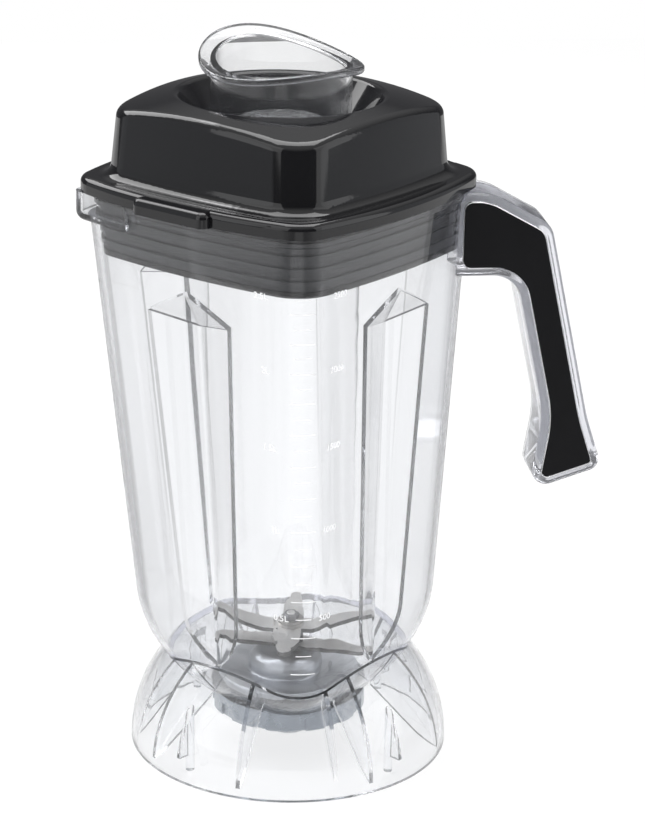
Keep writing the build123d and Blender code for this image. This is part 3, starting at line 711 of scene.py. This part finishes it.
@dataclass
class PrintedScale:
    """White marks round the jar's front corner, with litres on one wall and millilitres on the other.

    Sizes are in millimetres and volumes in millilitres. The hollow is taken as a rounded square that
    widens from the top of the bowl upwards, and the bowl as an arc below that.
    """

    mouth_offset: float = 7.4
    rim_level: float = 273.0
    floor_top: float = 31.0
    bowl_top: float = 78.0
    bowl_round: float = 70.5
    hollow_half: float = 54.4
    hollow_slope: float = 0.0651
    hollow_area: float = 3.55
    layer: float = 0.5
    first_mark: int = 200
    last_mark: int = 2500
    step: int = 100
    long_step: int = 200
    figure_step: int = 500
    long_half: float = 5.6
    short_half: float = 3.6
    line: float = 0.45
    line_cells: int = 18
    figure: float = 4.2
    figure_along: float = 42.0
    ink_depth: float = 0.05
    stand_off: float = 150.0
    made: list[bpy.types.Object] = field(default_factory=list)

    def level(self, volume: int) -> float:
        """Finds the height at which the jar holds a volume.

        Args:
            volume: Millilitres.

        Returns:
            The height in millimetres.
        """
        held = 0.0
        height = self.floor_top
        while held < volume * 1000.0:
            half = self.hollow_half + self.hollow_slope * (height - self.bowl_top)
            if height < self.bowl_top:
                half -= self.bowl_round - math.sqrt(self.bowl_round**2 - (self.bowl_top - height) ** 2)
            held += self.hollow_area * half**2 * self.layer
            height += self.layer
        return height

    def centre(self, height: float) -> float:
        """Gives the middle of the jar's section at a height."""
        return -self.mouth_offset * height / self.rim_level

    def print_on(self, piece: bpy.types.Object, jar: bpy.types.Object) -> None:
        """Lays a flat piece on the wall that it faces, as a film of ink.

        Args:
            piece: A flat mesh in front of the jar.
            jar: The clear jar.
        """
        Bench.hold(piece)
        wrap = piece.modifiers.new("lie on wall", "SHRINKWRAP")
        wrap.target = jar
        wrap.wrap_method = "PROJECT"
        wrap.use_project_z = True
        wrap.use_negative_direction = True
        wrap.use_positive_direction = False
        wrap.offset = self.ink_depth * MM
        bpy.ops.object.modifier_apply(modifier=wrap.name)
        film = piece.modifiers.new("ink", "SOLIDIFY")
        film.thickness = self.ink_depth * MM
        film.offset = 0.0
        bpy.ops.object.modifier_apply(modifier=film.name)
        Bench.settle(piece)
        self.made.append(piece)

    def mark(self, volume: int, jar: bpy.types.Object) -> None:
        """Prints one line round the corner.

        Args:
            volume: The volume that it marks.
            jar: The clear jar.
        """
        height = self.level(volume)
        half = self.long_half if volume % self.long_step == 0 else self.short_half
        Bench.clear()
        bpy.ops.mesh.primitive_grid_add(x_subdivisions=self.line_cells, y_subdivisions=1, size=1.0)
        strip = bpy.context.object
        strip.scale = (2.0 * half * MM, self.line * MM, 1.0)
        Bench.settle(strip)
        strip.rotation_euler = (math.radians(90.0), 0.0, 0.0)
        strip.location = Vector((self.centre(height), -self.stand_off, height)) * MM
        bpy.context.view_layer.update()
        self.print_on(strip, jar)

    def words(self, text: str, volume: int, side: int, jar: bpy.types.Object) -> None:
        """Prints figures beside the corner.

        Args:
            text: The figures.
            volume: The mark that they stand beside.
            side: -1 for the wall towards the spout and 1 for the wall towards the handle.
            jar: The clear jar.
        """
        height = self.level(volume)
        turn = math.radians(45.0) * side
        normal = Vector((math.sin(turn), -math.cos(turn), 0.0))
        along = Vector((math.cos(turn), math.sin(turn), 0.0))
        Bench.clear()
        bpy.ops.object.text_add()
        figures = bpy.context.object
        figures.data.body = text
        figures.data.size = self.figure * MM
        figures.data.align_x = "CENTER"
        figures.data.align_y = "CENTER"
        bpy.ops.object.convert(target="MESH")
        figures = bpy.context.object
        figures.rotation_euler = (math.radians(90.0), 0.0, turn)
        spot = normal * self.stand_off - along * (self.figure_along * side)
        figures.location = (spot + Vector((self.centre(height), 0.0, height))) * MM
        bpy.context.view_layer.update()
        self.print_on(figures, jar)

    def build(self, jar: bpy.types.Object, ink: bpy.types.Material) -> None:
        """Prints the whole scale.

        Args:
            jar: The clear jar.
            ink: The ink's material.
        """
        for volume in range(self.first_mark, self.last_mark + 1, self.step):
            self.mark(volume, jar)
            if volume % self.figure_step == 0:
                self.words(f"{volume / 1000:g}L", volume, -1, jar)
                self.words(str(volume), volume, 1, jar)
        scale = Bench.join(self.made, "printed_scale")
        Bench.dress(scale, ink)
        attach(scale, "jar_body")
        LOG.info("%s: %d faces", scale.name, len(scale.data.polygons))


@dataclass(frozen=True)
class Softbox:
    """A large soft lamp: its name, its place and size in metres, and its power in watts."""

    name: str
    place: Spot
    size: tuple[float, float]
    power: float

    def hang(self, aim: Vector) -> None:
        """Hangs the lamp so that it points at a place.

        Args:
            aim: What it points at.
        """
        light = bpy.data.lights.new(self.name, "AREA")
        light.shape = "RECTANGLE"
        light.size, light.size_y = self.size
        light.energy = self.power
        lamp = bpy.data.objects.new(self.name, light)
        bpy.context.scene.collection.objects.link(lamp)
        lamp.location = Vector(self.place)
        lamp.rotation_euler = (aim - Vector(self.place)).to_track_quat("-Z", "Y").to_euler()


@dataclass
class Studio:
    """White floor and background, soft lamps, and the camera.

    What refraction and reflection show beside the jar is darker than what the camera sees straight,
    as with dark cards beside a clear object, so that the clear walls have outlines.
    """

    floor_size: float = 3.2
    floor_gap: float = 0.3
    floor_tone: float = 0.94
    floor_glow: float = 0.85
    strip_turn: float = 6.9
    strip_half: float = 0.085
    strip_spread: float = 0.06
    strip_scale: float = 0.1
    strip: tuple[tuple[float, float], ...] = ((1.0, 1.0), (1.9, 0.38), (3.2, 0.45), (6.0, 0.92))
    room: tuple[tuple[float, Colour], ...] = (
        (0.0, (0.4, 0.4, 0.4)),
        (0.5, (0.12, 0.12, 0.125)),
        (0.66, (0.12, 0.12, 0.125)),
        (0.9, (0.8, 0.8, 0.8)),
    )
    panel: Colour = (0.52, 0.53, 0.55)
    panel_span: tuple[float, float] = (0.84, 0.9)
    softboxes: tuple[Softbox, ...] = (
        Softbox("top softbox", (0.0, 0.2, 1.7), (1.6, 1.2), 26.0),
        Softbox("left softbox", (-1.5, -0.9, 0.9), (1.4, 1.6), 8.0),
        Softbox("right softbox", (1.6, -0.7, 0.8), (1.4, 1.6), 7.0),
        Softbox("back softbox", (-1.0, 0.9, 1.4), (1.0, 1.0), 14.0),
    )
    lamp_aim: Spot = (0.0, 0.0, 0.2)
    eye: Spot = (-147.5, -1215.9, 598.4)
    target: Spot = (0.0, 0.0, 150.0)
    roll: float = 0.85
    focal: float = 2780.8
    frame_size: tuple[int, int] = (645, 823)
    target_pixel: tuple[float, float] = (292.3, 440.6)
    sensor: float = 36.0
    near: float = 0.05

    def ray(self, sheet: Sheet, kind: str) -> Wire:
        """Gives 1 for one kind of ray and 0 for the others."""
        return sheet.node("ShaderNodeLightPath", output=f"Is {kind} Ray")

    def seen(self, sheet: Sheet) -> Wire:
        """Gives 1 for rays that show the background and 0 for those that light the object.

        Args:
            sheet: The material's sheet.

        Returns:
            The share.
        """
        straight, mirrored = self.ray(sheet, "Camera"), self.ray(sheet, "Glossy")
        return (straight + mirrored + self.ray(sheet, "Transmission")).at_most(1.0)

    def backdrop(self) -> None:
        """Makes the world: white where it is seen straight, else a dim room with paler side panels."""
        world = bpy.data.worlds.new("studio")
        bpy.context.scene.world = world
        world.use_nodes = True
        sheet = Sheet(world.node_tree)
        direction = sheet.node("ShaderNodeTexCoord", output="Generated")
        height = sheet.part(direction, "Z") * 0.5 + 0.5
        room = sheet.node("ShaderNodeValToRGB", {"stops": self.room}, {"Fac": height})
        beside = sheet.ease(abs(sheet.part(direction, "X")), self.panel_span, (0.0, 1.0))
        lit = sheet.mix(beside, room, solid(self.panel))
        colour = sheet.mix(self.ray(sheet, "Camera"), lit, solid(WHITE))
        glow = sheet.node("ShaderNodeBackground", inputs={"Color": colour, "Strength": 1.0})
        sheet.node("ShaderNodeOutputWorld", inputs={"Surface": glow})

    def floor(self) -> None:
        """Lays the pale floor, which shows white and keeps the object's shadow."""
        Bench.clear()
        lowered = (0.0, 0.0, -self.floor_gap * MM)
        bpy.ops.mesh.primitive_plane_add(size=self.floor_size, location=lowered)
        floor = bpy.context.object
        floor.name = "floor"
        Bench.settle(floor)
        pale = bpy.data.materials.new("pale floor")
        pale.use_nodes = True
        sheet = Sheet(pale.node_tree)
        matt = sheet.node("ShaderNodeBsdfDiffuse", inputs={"Color": solid(WHITE, self.floor_tone)})
        turned = sheet.node(
            "ShaderNodeMapping",
            inputs={"Vector": sheet.place(), "Rotation": (0.0, 0.0, math.radians(self.strip_turn))},
        )
        half = abs(sheet.part(turned, "Y")) * self.strip_spread + self.strip_half
        fall = sheet.node(
            "ShaderNodeValToRGB",
            {"stops": [(place * self.strip_scale, (level, level, level)) for place, level in self.strip]},
            {"Fac": abs(sheet.part(turned, "X")) / half * self.strip_scale},
        )
        tone = sheet.mix(self.ray(sheet, "Camera"), fall, solid(WHITE))
        glow = sheet.node("ShaderNodeEmission", inputs={"Color": tone, "Strength": 1.0})
        share = self.seen(sheet) * self.floor_glow
        shown = sheet.node("ShaderNodeMixShader", inputs={0: share, 1: matt, 2: glow})
        sheet.node("ShaderNodeOutputMaterial", inputs={"Surface": shown})
        Bench.dress(floor, pale)
        floor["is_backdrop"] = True

    def camera(self) -> None:
        """Sets the camera where the photograph was taken from."""
        eye = Vector(self.eye) * MM
        target = Vector(self.target) * MM
        width, height = self.frame_size
        look = (target - eye).to_track_quat("-Z", "Y").to_matrix()
        look = look @ Matrix.Rotation(math.radians(self.roll), 3, "Z")
        right, down = self.target_pixel
        off_axis = Vector((right - width / 2.0, height / 2.0 - down, -self.focal))
        turn = off_axis.rotation_difference(Vector((0.0, 0.0, -1.0))).to_matrix()
        view = bpy.data.cameras.new("camera")
        view.sensor_width = self.sensor
        view.lens = self.focal * self.sensor / max(width, height)
        view.clip_start = self.near
        camera = bpy.data.objects.new("camera", view)
        bpy.context.scene.collection.objects.link(camera)
        camera.matrix_world = Matrix.Translation(eye) @ (look @ turn).to_4x4()
        bpy.context.scene.camera = camera

    def build(self) -> None:
        """Sets up the whole studio."""
        bpy.context.scene.view_settings.view_transform = "Standard"
        self.backdrop()
        self.floor()
        for softbox in self.softboxes:
            softbox.hang(Vector(self.lamp_aim))
        self.camera()
        LOG.info("studio ready")


def main() -> None:
    """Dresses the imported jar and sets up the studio."""
    logging.basicConfig(level=logging.INFO, format="%(name)s: %(message)s")
    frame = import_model()
    cad_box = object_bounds()
    nodes: dict[str, bpy.types.Object] = frame["nodes"]
    materials = {slot: finish.material() for slot, finish in FINISHES.items()}
    own = {name: finish.material() for name, finish in NODE_FINISHES.items()}
    for entry in frame["record"]["subparts"]:
        material = own.get(entry["node"], materials[Slot(entry["material_slot"])])
        Bench.dress(nodes[entry["node"]], material)
        LOG.info("%s: %s", entry["node"], material.name)
    jar = ClearJar().build(nodes, materials[Slot.CLEAR])
    ClearCap().build(nodes, materials[Slot.CLEAR])
    Grips().build(nodes, materials[Slot.GRIP])
    PrintedScale().build(jar, INK.material())
    Studio().build()
    boxes = {"cad": cad_box, "visual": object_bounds()}
    boxes = {name: [list(corner) for corner in box] for name, box in boxes.items()}


if __name__ == "__main__":
    main()
